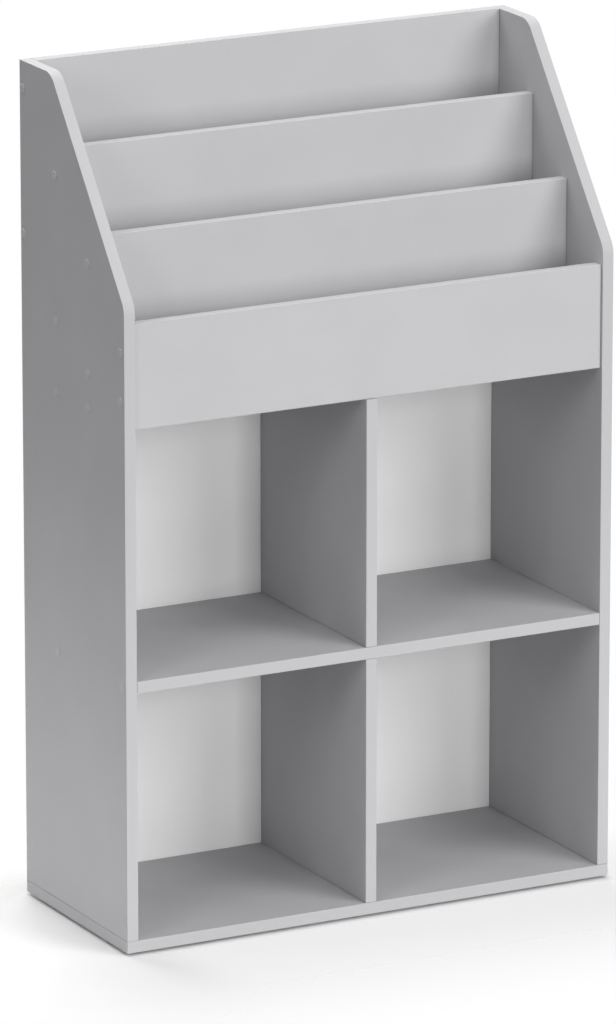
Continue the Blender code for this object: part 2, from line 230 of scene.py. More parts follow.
def floorMaterial():
    material = bpy.data.materials.new("paleFloor")
    material.use_nodes = True
    tree = material.node_tree
    tree.nodes.clear()
    place = addNode(tree, "TexCoord").outputs["Object"]
    axes = addNode(tree, "SeparateXYZ", {0: place}).outputs
    past = vectorCalc(tree, "SUBTRACT", vectorCalc(tree, "ABSOLUTE", place), tuple((cadHigh - cadLow) / 2))
    outside = vectorCalc(tree, "LENGTH", vectorCalc(tree, "MAXIMUM", past, origin))
    sides = addNode(tree, "SeparateXYZ", {0: past}).outputs
    edge = calc(tree, "MAXIMUM", sides[0], sides[1])
    # painted light: the floor's shadow is lightened toward white for the camera, none at the contact edge
    # and little on the left
    fullPaintedShadowLift = fadeBetween(tree, axes[0], *floorDisc["leftShade"], high=floorDisc["paintedShadowLift"])
    paintedShadowLift = fadeBetween(tree, edge, *floorDisc["contact"], high=fullPaintedShadowLift)
    around = fadeBetween(tree, outside, *floorDisc["fade"], low=paintedShadowLift)
    behind = fadeBetween(tree, calc(tree, "SUBTRACT", axes[1], cadHigh.y), *floorDisc["rearFade"])
    fade = calc(tree, "MULTIPLY", shownRays(tree), calc(tree, "MAXIMUM", around, behind))
    hidden = calc(tree, "MAXIMUM", fade, addNode(tree, "NewGeometry").outputs["Backfacing"])
    paint = addNode(tree, "BsdfDiffuse", {"Color": floorDisc["colour"]}).outputs[0]
    clear = addNode(tree, "BsdfTransparent").outputs[0]
    mix = addNode(tree, "MixShader", {0: hidden, 1: paint, 2: clear})
    addNode(tree, "OutputMaterial", {"Surface": mix.outputs[0]})
    return material


addWorld()
for name, box in softBoxes.items():
    addSoftBox(name, box)
addFloor()
print("studio set:", len(softBoxes), "soft boxes")


# Shared surface effects, as node groups
socketKinds = {float: "NodeSocketFloat", tuple: "NodeSocketVector"}


def newGroup(name, inputs, outputs):
    group = bpy.data.node_groups.new(name, "ShaderNodeTree")
    for label, value in inputs.items():
        socket = group.interface.new_socket(label, in_out="INPUT", socket_type=socketKinds[type(value)])
        socket.default_value = value
    for label, kind in outputs.items():
        group.interface.new_socket(label, in_out="OUTPUT", socket_type="NodeSocket" + kind)
    return group, group.nodes.new("NodeGroupInput").outputs, group.nodes.new("NodeGroupOutput").inputs


def useGroup(tree, group, inputs):
    made = tree.nodes.new("ShaderNodeGroup")
    made.node_tree = group
    for name, value in inputs.items():
        feed(tree, made.inputs[name], value)
    return made.outputs


# Mottle of paper, lacquer and plastic: soft clouds with flecks in them
mottleLook = {
    "clouds": (2.0, 0.55),      # detail and roughness
    "flecks": (1.0, 0.6),
    "fleckScale": 40.0,         # beside that of the clouds
    "fleckShare": 0.3,
}


def softMottleGroup():
    group, given, result = newGroup("softMottle", {"Place": origin, "Size": 0.1}, {"Mottle": "Float"})
    scale = calc(group, "DIVIDE", 1.0, given["Size"])
    fleckScale = calc(group, "MULTIPLY", scale, mottleLook["fleckScale"])
    clouds = noise(group, given["Place"], scale, *mottleLook["clouds"])
    flecks = noise(group, given["Place"], fleckScale, *mottleLook["flecks"])
    feed(group, result["Mottle"], mixValues(group, mottleLook["fleckShare"], clouds, flecks))
    return group


# Fine pressed grain: pearls on a wavy skin
grainLook = {
    "pearls": (0.0, 0.5),       # detail and roughness
    "skin": (1.0, 0.6),
    "skinScale": 0.37,          # beside that of the pearls
    "skinShare": 0.45,
}


def pressedGrainGroup():
    group, given, result = newGroup("pressedGrain", {"Place": origin, "Size": 0.001}, {"Height": "Float"})
    scale = calc(group, "DIVIDE", 1.0, given["Size"])
    skinScale = calc(group, "MULTIPLY", scale, grainLook["skinScale"])
    pearls = noise(group, given["Place"], scale, *grainLook["pearls"])
    skin = noise(group, given["Place"], skinScale, *grainLook["skin"])
    feed(group, result["Height"], mixValues(group, grainLook["skinShare"], pearls, skin))
    return group


# Marks of handling: smudges and wiped streaks
handlingLook = {
    "smudges": (9.0, 2.0, 0.6),         # scale, detail and roughness
    "smudgeRange": (0.45, 0.75),
    "wipe": (14.0, 14.0, 120.0),        # scale on each axis
    "wipeTurn": (0.3, 0.2, 0.0),
    "streaks": (1.0, 1.0, 0.7),
    "streakRange": (0.5, 0.8),
    "streakShare": 0.4,
}


def handlingGroup():
    group, given, result = newGroup("handling", {"Place": origin}, {"Marks": "Float"})
    wiped = stretched(group, given["Place"], handlingLook["wipe"], handlingLook["wipeTurn"])
    smudges = noise(group, given["Place"], *handlingLook["smudges"])
    streaks = noise(group, wiped, *handlingLook["streaks"])
    smudged = fadeBetween(group, smudges, *handlingLook["smudgeRange"])
    streaked = fadeBetween(group, streaks, *handlingLook["streakRange"])
    feed(group, result["Marks"], mixValues(group, handlingLook["streakShare"], smudged, streaked))
    return group


# Masks of a banded board: its tape, the glue line beside it, its arrises, and the core inside its bores
bandLook = {
    "tape": 0.0008,             # thickness
    "onEdge": 0.5,              # part of its normal along the thickness, under which a face is an edge
    "glueLine": 0.00007,        # half its width
    "arris": 0.0009,            # how far in an arris is lightened, partly rubbed and partly a painted highlight
    "coreDepth": 0.0009,        # from here inwards a bore shows the core
    "sideCoreDepth": 0.005,     # the same on the sides, past the rounded corners of their outline
}


def boardMasksGroup():
    inputs = {name: origin for name in ("Place", "Normal", "Low", "High", "Thickness Axis", "Slope Normal")}
    inputs.update({"Slope Reach": 1.0, "Tape": bandLook["tape"], "Core Depth": bandLook["coreDepth"]})
    outputs = {name: "Float" for name in ("Band", "Glue Line", "Arris", "Core")}
    group, given, result = newGroup("boardMasks", inputs, outputs)
    axis = given["Thickness Axis"]
    inLow = vectorCalc(group, "SUBTRACT", given["Place"], given["Low"])
    inHigh = vectorCalc(group, "SUBTRACT", given["High"], given["Place"])
    depth = vectorCalc(group, "MINIMUM", inLow, inHigh)      # behind the nearest face, on each axis
    across = vectorCalc(group, "DOT_PRODUCT", depth, axis)
    sides = addNode(group, "SeparateXYZ", {0: vectorCalc(group, "ADD", depth, axis)}).outputs
    boxed = calc(group, "MINIMUM", calc(group, "MINIMUM", sides[0], sides[1]), sides[2])
    reach = vectorCalc(group, "DOT_PRODUCT", given["Place"], given["Slope Normal"])
    slope = calc(group, "SUBTRACT", given["Slope Reach"], reach)
    outline = calc(group, "MINIMUM", boxed, slope)      # behind the nearest edge
    upright = calc(group, "ABSOLUTE", vectorCalc(group, "DOT_PRODUCT", given["Normal"], axis))
    onEdge = calc(group, "LESS_THAN", upright, bandLook["onEdge"])
    inTape = calc(group, "LESS_THAN", outline, given["Tape"])
    line = calc(group, "COMPARE", outline, given["Tape"], bandLook["glueLine"])
    inside = calc(group, "MINIMUM", across, outline)
    corner = calc(group, "MAXIMUM", across, outline)
    feed(group, result["Band"], calc(group, "MAXIMUM", onEdge, inTape))
    feed(group, result["Glue Line"], calc(group, "SUBTRACT", line, onEdge))
    feed(group, result["Arris"], fadeBetween(group, corner, 0.0, bandLook["arris"], low=1.0, high=0.0))
    feed(group, result["Core"], calc(group, "GREATER_THAN", inside, given["Core Depth"]))
    return group


# Chip core, seen inside the bores
chipLook = {
    "dark": (0.30, 0.19, 0.10, 1.0),
    "pale": (0.58, 0.42, 0.26, 1.0),
    "dust": (0.45, 0.31, 0.18, 1.0),
    "lay": (1.0, 1.0, 3.0),                 # the chips lie flat
    "chipScale": 420.0,
    "dustNoise": (1800.0, 2.0, 0.6),        # scale, detail and roughness
    "dustRange": (0.4, 0.8),
}


def chipCoreGroup():
    group, given, result = newGroup("chipCore", {"Place": origin}, {"Colour": "Color"})
    laid = stretched(group, given["Place"], chipLook["lay"])
    chips = addNode(group, "TexVoronoi", {"Vector": laid, "Scale": chipLook["chipScale"]}).outputs
    tint = addNode(group, "SeparateColor", {0: chips["Color"]}).outputs[0]
    wood = mixColours(group, tint, chipLook["dark"], chipLook["pale"])
    dust = noise(group, given["Place"], *chipLook["dustNoise"])
    dusted = fadeBetween(group, dust, *chipLook["dustRange"])
    feed(group, result["Colour"], mixColours(group, dusted, wood, chipLook["dust"]))
    return group


# Fibres of the hardboard, in lays one over the other
fibreLook = {
    "lays": 3,
    "stretch": (110.0, 1.0, 1500.0),
    "firstTurn": 0.4,
    "strands": (1.0, 2.0, 0.55),        # scale, detail and roughness
    "strandRange": (0.45, 0.8),
}


def fibresGroup():
    group, given, result = newGroup("fibres", {"Place": origin}, {"Fibre": "Float"})
    mat = 0.0
    for lay in range(fibreLook["lays"]):
        turn = fibreLook["firstTurn"] + lay * pi / fibreLook["lays"]
        laid = stretched(group, given["Place"], fibreLook["stretch"], (0.0, turn, 0.0))
        mat = calc(group, "MAXIMUM", mat, noise(group, laid, *fibreLook["strands"]))
    feed(group, result["Fibre"], fadeBetween(group, mat, *fibreLook["strandRange"]))
    return group


# Zinc plating: a dull bloom and a fine unevenness
platingLook = {
    "bloom": (260.0, 3.0, 0.6),         # scale, detail and roughness
    "height": (2600.0, 2.0, 0.5),
}


def platingGroup():
    group, given, result = newGroup("plating", {"Place": origin}, {"Bloom": "Float", "Height": "Float"})
    feed(group, result["Bloom"], noise(group, given["Place"], *platingLook["bloom"]))
    feed(group, result["Height"], noise(group, given["Place"], *platingLook["height"]))
    return group


softMottle = softMottleGroup()
pressedGrain = pressedGrainGroup()
handling = handlingGroup()
boardMasks = boardMasksGroup()
chipCore = chipCoreGroup()
fibres = fibresGroup()
plating = platingGroup()


def newMaterial(name):
    material = bpy.data.materials.new(name)
    material.use_nodes = True
    tree = material.node_tree
    place = addNode(tree, "TexCoord").outputs["Object"]
    return material, tree, tree.nodes["Principled BSDF"], place


def addBump(tree, shader, height, distance):
    bump = addNode(tree, "Bump", {"Height": height, "Distance": distance, "Strength": 1.0})
    tree.links.new(bump.outputs["Normal"], shader.inputs["Normal"])


# Light grey faced board with banded edges
boardFinish = {
    "dark": (0.430, 0.4283, 0.4403, 1.0),
    "light": (0.447, 0.4453, 0.4573, 1.0),
    "band": (0.430, 0.4283, 0.4395, 1.0),
    "wornAndHighlight": (0.48, 0.48, 0.489, 1.0),       # lighter on the arrises: partly rubbed wear, partly a painted highlight
    "glue": (0.31, 0.306, 0.31, 1.0),
    "specular": 0.12,
    "roughness": 0.72,
    "bandRoughness": 0.64,
    "coreRoughness": 0.9,
    "handling": -0.09,          # change in the roughness where hands go
    "mottleSize": 0.11,
    "mottleRange": (0.3, 0.7),
    "markRange": (0.0, 0.6),
    "arrisLightening": (0.25, 0.6),     # how much the arrises lighten, from clean to well handled: partly wear, partly painted highlight
    "grainSize": 0.0011,
    "grainDepth": 0.00004,
    "bandGrain": -0.7,          # change in the grain on the tape
}
sideSlope = {"footHeight": 0.871, "topFlat": 0.092}      # where the slope of a side starts and ends


def slopeOf(low, high):
    foot = Vector((0.0, low.y, sideSlope["footHeight"]))
    head = Vector((0.0, high.y - sideSlope["topFlat"], high.z))
    run = head - foot
    outward = Vector((0.0, -run.z, run.y)).normalized()
    return outward, outward.dot(foot)


def boardMaterial(name):
    low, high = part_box(name)
    size = list(high - low)
    axis = [0.0, 0.0, 0.0]
    axis[size.index(min(size))] = 1.0
    material, tree, shader, place = newMaterial(name + "_faced")
    shape = {
        "Place": place,
        "Normal": addNode(tree, "NewGeometry").outputs["True Normal"],
        "Low": low,
        "High": high,
        "Thickness Axis": axis,
    }
    if name.endswith("side_panel"):
        shape["Slope Normal"], shape["Slope Reach"] = slopeOf(low, high)
        shape["Core Depth"] = bandLook["sideCoreDepth"]
    masks = useGroup(tree, boardMasks, shape)
    mottle = useGroup(tree, softMottle, {"Place": place, "Size": boardFinish["mottleSize"]})["Mottle"]
    grain = useGroup(tree, pressedGrain, {"Place": place, "Size": boardFinish["grainSize"]})["Height"]
    marks = useGroup(tree, handling, {"Place": place})["Marks"]
    core = useGroup(tree, chipCore, {"Place": place})["Colour"]

    shade = fadeBetween(tree, mottle, *boardFinish["mottleRange"])
    paper = mixColours(tree, shade, boardFinish["dark"], boardFinish["light"])
    banded = mixColours(tree, masks["Band"], paper, boardFinish["band"])
    glued = mixColours(tree, masks["Glue Line"], banded, boardFinish["glue"])
    # painted highlight along the arrises, mixed with real rubbing where hands go
    wearAndHighlight = fadeBetween(tree, marks, *boardFinish["markRange"], *boardFinish["arrisLightening"])
    wornAndHighlight = mixColours(tree, calc(tree, "MULTIPLY", masks["Arris"], wearAndHighlight), glued, boardFinish["wornAndHighlight"])
    feed(tree, shader.inputs["Base Color"], mixColours(tree, masks["Core"], wornAndHighlight, core))

    matt = mixValues(tree, masks["Band"], boardFinish["roughness"], boardFinish["bandRoughness"])
    handled = calc(tree, "MULTIPLY_ADD", marks, boardFinish["handling"], matt)
    rough = mixValues(tree, masks["Core"], handled, boardFinish["coreRoughness"])
    feed(tree, shader.inputs["Roughness"], rough)
    shader.inputs["Specular IOR Level"].default_value = boardFinish["specular"]
    grainShare = calc(tree, "MULTIPLY_ADD", masks["Band"], boardFinish["bandGrain"], 1.0)
    addBump(tree, shader, calc(tree, "MULTIPLY", grain, grainShare), boardFinish["grainDepth"])
    return material


# Hardboard: white lacquer towards the cubbies, bare fibre behind and on its edges
sheetFinish = {
    "white": (0.761, 0.761, 0.7585, 1.0),
    "whiteShade": (0.744, 0.744, 0.7415, 1.0),
    "brown": (0.235, 0.145, 0.082, 1.0),
    "paleFibre": (0.34, 0.225, 0.135, 1.0),
    "darkPatch": (0.175, 0.105, 0.058, 1.0),
    "lacquerDepth": 0.0002,
    "specular": 0.2,
    "roughness": 0.48,
    "fibreRoughness": 0.78,
    "handling": -0.08,          # change in the roughness where hands go
    "mottleSize": 0.16,
    "patchRange": (0.35, 0.65),
    "peelSize": 0.0016,         # unevenness of the lacquer
    "relief": 0.00004,
}


def sheetMaterial():
    low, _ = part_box("back_sheet")
    material, tree, shader, place = newMaterial("back_sheet_hardboard")
    depth = addNode(tree, "SeparateXYZ", {0: place}).outputs[1]
    lacquer = calc(tree, "LESS_THAN", depth, low.y + sheetFinish["lacquerDepth"])
    mottle = useGroup(tree, softMottle, {"Place": place, "Size": sheetFinish["mottleSize"]})["Mottle"]
    marks = useGroup(tree, handling, {"Place": place})["Marks"]
    fibre = useGroup(tree, fibres, {"Place": place})["Fibre"]
    peel = useGroup(tree, pressedGrain, {"Place": place, "Size": sheetFinish["peelSize"]})["Height"]
    patches = fadeBetween(tree, mottle, *sheetFinish["patchRange"])
    white = mixColours(tree, patches, sheetFinish["whiteShade"], sheetFinish["white"])
    pulp = mixColours(tree, patches, sheetFinish["darkPatch"], sheetFinish["brown"])
    brown = mixColours(tree, fibre, pulp, sheetFinish["paleFibre"])
    feed(tree, shader.inputs["Base Color"], mixColours(tree, lacquer, brown, white))
    gloss = calc(tree, "MULTIPLY_ADD", marks, sheetFinish["handling"], sheetFinish["roughness"])
    feed(tree, shader.inputs["Roughness"], mixValues(tree, lacquer, sheetFinish["fibreRoughness"], gloss))
    shader.inputs["Specular IOR Level"].default_value = sheetFinish["specular"]
    addBump(tree, shader, mixValues(tree, lacquer, fibre, peel), sheetFinish["relief"])
    return material


# Zinc plated steel, for the screws and the nails
steelFinish = {
    "bright": (0.66, 0.66, 0.645, 1.0),
    "dull": (0.50, 0.505, 0.50, 1.0),
    "roughness": (0.30, 0.46),
    "bloomRange": (0.3, 0.7),
    "relief": 0.00001,
}


def steelMaterial(name):
    material, tree, shader, place = newMaterial(name)
    coat = useGroup(tree, plating, {"Place": place})
    bloom = fadeBetween(tree, coat["Bloom"], *steelFinish["bloomRange"])
    zinc = mixColours(tree, bloom, steelFinish["bright"], steelFinish["dull"])
    feed(tree, shader.inputs["Base Color"], zinc)
    feed(tree, shader.inputs["Roughness"], mixValues(tree, bloom, *steelFinish["roughness"]))
    shader.inputs["Metallic"].default_value = 1.0
    addBump(tree, shader, coat["Height"], steelFinish["relief"])
    return material


# Beech of the dowels, with its grain along them
beechFinish = {
    "pale": (0.62, 0.45, 0.29, 1.0),
    "dark": (0.47, 0.31, 0.18, 1.0),
    "fleck": (0.36, 0.22, 0.12, 1.0),
    "grainStretch": (900.0, 900.0, 18.0),
    "grain": (1.0, 3.0, 0.6),           # scale, detail and roughness
    "grainRange": (0.3, 0.7),
    "fleckStretch": (2200.0, 2200.0, 260.0),
    "flecks": (1.0, 1.0, 0.5),
    "fleckRange": (0.66, 0.72),
    "roughness": (0.62, 0.78),
    "roughRange": (0.2, 0.8),
    "relief": 0.00005,
}


def beechMaterial():
    material, tree, shader, place = newMaterial("dowel_beech")
    grain = noise(tree, stretched(tree, place, beechFinish["grainStretch"]), *beechFinish["grain"])
    flecks = noise(tree, stretched(tree, place, beechFinish["fleckStretch"]), *beechFinish["flecks"])
    rings = fadeBetween(tree, grain, *beechFinish["grainRange"])
    wood = mixColours(tree, rings, beechFinish["pale"], beechFinish["dark"])
    spots = fadeBetween(tree, flecks, *beechFinish["fleckRange"])
    feed(tree, shader.inputs["Base Color"], mixColours(tree, spots, wood, beechFinish["fleck"]))
    rough = fadeBetween(tree, grain, *beechFinish["roughRange"], *beechFinish["roughness"])
    feed(tree, shader.inputs["Roughness"], rough)
    addBump(tree, shader, grain, beechFinish["relief"])
    return material


# Moulded black glides, scuffed where they slide
glideFinish = {
    "black": (0.045, 0.045, 0.047, 1.0),
    "bloom": (0.062, 0.062, 0.064, 1.0),
    "scuffed": (0.16, 0.16, 0.155, 1.0),
    "soleHeight": 0.0004,                   # scuffed up to here
    "scratchStretch": (150.0, 2400.0, 1.0),
    "scratchTurn": (0.0, 0.0, 0.5),
    "scratches": (1.0, 2.0, 0.6),           # scale, detail and roughness
    "scratchRange": (0.45, 0.7),
    "mottleSize": 0.012,
    "grainSize": 0.0005,
    "roughness": (0.46, 0.7),
    "specular": 0.4,
    "relief": 0.00003,
}


def glideMaterial():
    material, tree, shader, place = newMaterial("glide_moulded")
    mottle = useGroup(tree, softMottle, {"Place": place, "Size": glideFinish["mottleSize"]})["Mottle"]
    grain = useGroup(tree, pressedGrain, {"Place": place, "Size": glideFinish["grainSize"]})["Height"]
    plastic = mixColours(tree, mottle, glideFinish["black"], glideFinish["bloom"])
    height = addNode(tree, "SeparateXYZ", {0: place}).outputs[2]
    sole = calc(tree, "LESS_THAN", height, glideFinish["soleHeight"])
    dragged = stretched(tree, place, glideFinish["scratchStretch"], glideFinish["scratchTurn"])
    scratches = noise(tree, dragged, *glideFinish["scratches"])
    scuff = calc(tree, "MULTIPLY", sole, fadeBetween(tree, scratches, *glideFinish["scratchRange"]))
    feed(tree, shader.inputs["Base Color"], mixColours(tree, scuff, plastic, glideFinish["scuffed"]))
    feed(tree, shader.inputs["Roughness"], mixValues(tree, scuff, *glideFinish["roughness"]))
    shader.inputs["Specular IOR Level"].default_value = glideFinish["specular"]
    addBump(tree, shader, grain, glideFinish["relief"])
    return material


# Plastic covers over the screws, a shade lighter than the board
capFinish = {
    "dark": (0.4386, 0.4377, 0.448, 1.0),
    "light": (0.4575, 0.4567, 0.467, 1.0),
    "roughness": (0.52, 0.62),
    "specular": 0.2,
    "mottleSize": 0.01,
    "mottleRange": (0.3, 0.7),
    "grainSize": 0.0004,
    "relief": 0.00002,
}


def capMaterial():
    material, tree, shader, place = newMaterial("cover_plastic")
    mottle = useGroup(tree, softMottle, {"Place": place, "Size": capFinish["mottleSize"]})["Mottle"]
    grain = useGroup(tree, pressedGrain, {"Place": place, "Size": capFinish["grainSize"]})["Height"]
    shade = fadeBetween(tree, mottle, *capFinish["mottleRange"])
    feed(tree, shader.inputs["Base Color"], mixColours(tree, shade, capFinish["dark"], capFinish["light"]))
    feed(tree, shader.inputs["Roughness"], mixValues(tree, shade, *capFinish["roughness"]))
    shader.inputs["Specular IOR Level"].default_value = capFinish["specular"]
    addBump(tree, shader, grain, capFinish["relief"])
    return material


screwSteel = steelMaterial("screw_zinc")
sharedFinish = {
    "screw_steel": screwSteel,
    "glide_plastic": glideMaterial(),
    "back_sheet": sheetMaterial(),
    "dowel_wood": beechMaterial(),
}
for name, node in nodes.items():
    node.data.materials.clear()
    node.data.materials.append(sharedFinish.get(slotOf[name]) or boardMaterial(name))
print("finishes set on", len(nodes), "nodes")


# Modelling helpers
modelling = {
    "facing": 0.9,          # least upright part of the normal of an end face
    "weld": 0.000001,       # points nearer than this are one
    "smoothAngle": 35,      # degrees, past which an edge stays sharp
}


def startPiece(name, sides, radius):
    bpy.ops.object.select_all(action="DESELECT")
    bpy.ops.mesh.primitive_circle_add(vertices=sides, radius=radius, fill_type="NGON", location=(0, 0, 0))
    piece = bpy.context.object
    piece.name = name
    bpy.ops.object.mode_set(mode="EDIT")
    bpy.ops.mesh.select_mode(type="FACE")
    bpy.ops.mesh.select_all(action="SELECT")
    return piece


def pickFace(piece, up):
    bpy.ops.mesh.select_all(action="DESELECT")
    bpy.ops.object.mode_set(mode="OBJECT")
    ends = [face for face in piece.data.polygons if face.normal.z * up > modelling["facing"]]
    furthest = max(ends, key=lambda face: face.center.z * up)
    furthest.select = True
    bpy.ops.object.mode_set(mode="EDIT")


def extrudeBy(rise):
    bpy.ops.mesh.extrude_region_move(TRANSFORM_OT_translate={"value": (0, 0, rise)})


def finishPiece(piece, material):
    bpy.ops.mesh.select_all(action="SELECT")
    bpy.ops.mesh.remove_doubles(threshold=modelling["weld"])
    bpy.ops.mesh.normals_make_consistent(inside=False)
    bpy.ops.object.mode_set(mode="OBJECT")
    bpy.ops.object.shade_smooth_by_angle(angle=radians(modelling["smoothAngle"]))
    piece.data.materials.append(material)


def placeCopy(pattern, name, place, direction):
    bpy.ops.object.select_all(action="DESELECT")
    pattern.select_set(True)
    bpy.context.view_layer.objects.active = pattern
    bpy.ops.object.duplicate(linked=False)
    piece = bpy.context.object
    piece.name = name
    piece.location = place
    piece.rotation_euler = Vector((0, 0, 1)).rotation_difference(Vector(direction)).to_euler()
    bpy.ops.object.transform_apply(location=True, rotation=True, scale=True)
    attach(piece, "root")
    return piece


def turnedPiece(name, sides, profile):
    (radius, height), *rings = profile      # radius and height of each ring, from the top down
    piece = startPiece(name, sides, radius)
    bpy.ops.transform.translate(value=(0, 0, height))
    for nextRadius, nextHeight in rings:
        extrudeBy(nextHeight - height)
        share = nextRadius / radius
        bpy.ops.transform.resize(value=(share, share, 1))
        radius, height = nextRadius, nextHeight
    return piece


# Covers that press into the sockets of the side screws
capShape = {
    "radius": 0.0064,
    "thickness": 0.0009,
    "rim": 0.00045,         # rounding of the rim
    "rimSteps": 4,
    "crown": 0.00022,       # rise of the middle over the rim
    "crownRings": (0.14, 0.15, 0.25),       # that draw the face up, in radii
    "pegRadius": 0.00165,
    "pegLength": 0.0027,
    "pegRim": 0.0003,
    "pegRimSteps": 2,
    "sides": 40,
}


def modelCap():
    cap = startPiece("cover_pattern", capShape["sides"], capShape["radius"])
    extrudeBy(capShape["thickness"])
    bpy.ops.mesh.bevel(offset=capShape["rim"], segments=capShape["rimSteps"], affect="EDGES")
    for width in capShape["crownRings"]:
        pickFace(cap, 1)
        bpy.ops.mesh.inset(thickness=width * capShape["radius"], depth=0)
        bpy.ops.transform.translate(value=(0, 0, capShape["crown"] / len(capShape["crownRings"])))
    pickFace(cap, -1)
    bpy.ops.mesh.inset(thickness=capShape["radius"] - capShape["pegRadius"], depth=0)
    extrudeBy(-capShape["pegLength"])
    bpy.ops.mesh.bevel(offset=capShape["pegRim"], segments=capShape["pegRimSteps"], affect="EDGES")
    finishPiece(cap, capMaterial())
    return cap


capPattern = modelCap()
sideScrews = [
    name for name in nodes
    if name.startswith(("left_", "right_")) and name.endswith("_screw") and "_foot_" not in name
]
for name in sideScrews:
    low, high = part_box(name)
    onLeft = name.startswith("left")
    place = Vector((cadLow.x if onLeft else cadHigh.x, (low.y + high.y) / 2, (low.z + high.z) / 2))
    placeCopy(capPattern, name.replace("_screw", "_cap"), place, (-1 if onLeft else 1, 0, 0))
bpy.data.objects.remove(capPattern)
print("covers set:", len(sideScrews))


# Nails that hold the back sheet to the boards behind which it lies
nailShape = {
    "headRadius": 0.0023,
    "headHeight": 0.0006,
    "rim": 0.45,             # rounding of the head, in its heights
    "rimSteps": 3,
    "dish": 0.4,             # rim of the dished head, in its radii
    "dishDepth": 0.00008,
    "shankRadius": 0.0007,
    "shankLength": 0.0125,
    "pointLength": 0.0022,
    "point": 0.12,           # in radii of the shank
    "sides": 20,
    "spacing": 0.105,
    "endMargin": 0.030,      # from a nail to the end of its row
}


def modelNail():
    nail = startPiece("nail_pattern", nailShape["sides"], nailShape["headRadius"])
    extrudeBy(nailShape["headHeight"])
    rim = nailShape["headHeight"] * nailShape["rim"]
    bpy.ops.mesh.bevel(offset=rim, segments=nailShape["rimSteps"], affect="EDGES")
    pickFace(nail, 1)
    bpy.ops.mesh.inset(thickness=nailShape["headRadius"] * nailShape["dish"], depth=nailShape["dishDepth"])
    pickFace(nail, -1)
    bpy.ops.mesh.inset(thickness=nailShape["headRadius"] - nailShape["shankRadius"], depth=0)
    extrudeBy(-nailShape["shankLength"])
    extrudeBy(-nailShape["pointLength"])
    bpy.ops.transform.resize(value=(nailShape["point"], nailShape["point"], 1))
    finishPiece(nail, steelMaterial("nail_steel"))
    return nail


def rowBetween(start, end):
    margin = nailShape["endMargin"]
    run = end - start - 2 * margin
    count = max(1, round(run / nailShape["spacing"]))
    return [start + margin + n * run / count for n in range(count + 1)]


def nailPlaces():
    sheetLow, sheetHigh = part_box("back_sheet")

    def centre(name):
        low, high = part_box(name)
        return (low + high) / 2

    left, right = centre("left_side_panel").x, centre("right_side_panel").x
    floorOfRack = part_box("rear_pocket_panel")[0].z
    places = []
    for x in (left, right):
        places += [(x, z) for z in rowBetween(sheetLow.z, sheetHigh.z)]
    levels = [centre(name).z for name in ("base_panel", "middle_shelf", "pocket_base_shelf")]
    levels.append((floorOfRack + sheetHigh.z) / 2)
    inner = rowBetween(left, right)[1:-1]
    for z in levels:
        places += [(x, z) for x in inner]
    for name in ("lower_divider", "upper_divider"):
        low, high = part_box(name)
        reach = (high.z - low.z) / 3      # two nails in each divider, at its thirds
        places += [(0.0, low.z + reach), (0.0, high.z - reach)]
    return places


nailPattern = modelNail()
nails = nailPlaces()
for count, (x, z) in enumerate(nails, 1):
    placeCopy(nailPattern, f"back_nail_{count:02d}", (x, cadHigh.y, z), (0, 1, 0))
bpy.data.objects.remove(nailPattern)
print("nails set:", len(nails))


# Connecting screws with their thread and key socket, in place of the plain solids
screwShape = {
    "rim": 0.0003,              # rounding of the head
    "headHeight": 0.004,
    "shankRadius": 0.0035,
    "shankEnd": 0.015,
    "coreRadius": 0.0025,
    "threadRadius": 0.0033,
    "pitch": 0.003,
    "ridge": 0.26,              # half the width of the thread, in pitches
    "pointLength": 0.002,
    "tip": 0.25,                # in radii of the core
    "socketSides": 6,
    "socketRadius": 0.0023,     # to its corners
    "socketDepth": 0.003,
    "socketTip": 0.2,           # in radii of the socket
    "socketTipDepth": 0.0006,
    "sides": 20,
    "rowsPerTurn": 8,
    "endShare": 0.49,           # a point further than this from the middle, in lengths, is on an end
}


def cutThread(screw, top, bottom):
    bpy.ops.mesh.select_mode(type="EDGE")
    bpy.ops.mesh.select_all(action="DESELECT")
    bpy.ops.object.mode_set(mode="OBJECT")
    points = screw.data.vertices
    for edge in screw.data.edges:
        ends = [points[index].co.z for index in edge.vertices]
        edge.select = max(abs(max(ends) - top), abs(min(ends) - bottom)) < modelling["weld"]
    bpy.ops.object.mode_set(mode="EDIT")
    turns = (top - bottom) / screwShape["pitch"]
    bpy.ops.mesh.subdivide(number_cuts=round(turns * screwShape["rowsPerTurn"]) - 1)
    bpy.ops.mesh.select_mode(type="FACE")
    bpy.ops.object.mode_set(mode="OBJECT")
    rise = screwShape["threadRadius"] / screwShape["coreRadius"] - 1
    for point in screw.data.vertices:
        x, y, z = point.co
        runOut = min(top - z, z - bottom) / screwShape["pitch"]      # the thread dies away at both ends
        if runOut <= 0:
            continue
        phase = (z / screwShape["pitch"] - atan2(y, x) / (2 * pi)) % 1.0
        ridge = max(0.0, 1 - abs(phase - 0.5) / screwShape["ridge"])
        swell = 1 + rise * ridge * min(1.0, runOut)
        point.co = (x * swell, y * swell, z)


def cutSocket(screw):
    radius, depth = screwShape["socketRadius"], screwShape["socketDepth"]
    tip = (radius * screwShape["socketTip"], -depth - screwShape["socketTipDepth"])
    profile = [(radius, depth), (radius, -depth), tip]
    key = turnedPiece("socket_cutter", screwShape["socketSides"], profile)
    bpy.ops.mesh.select_all(action="SELECT")
    bpy.ops.mesh.normals_make_consistent(inside=False)
    bpy.ops.object.mode_set(mode="OBJECT")
    bpy.ops.object.select_all(action="DESELECT")
    screw.select_set(True)
    bpy.context.view_layer.objects.active = screw
    cut = screw.modifiers.new("socket", "BOOLEAN")
    cut.operation = "DIFFERENCE"
    cut.object = key
    bpy.ops.object.modifier_apply(modifier="socket")
    bpy.data.objects.remove(key)
    bpy.ops.object.mode_set(mode="EDIT")


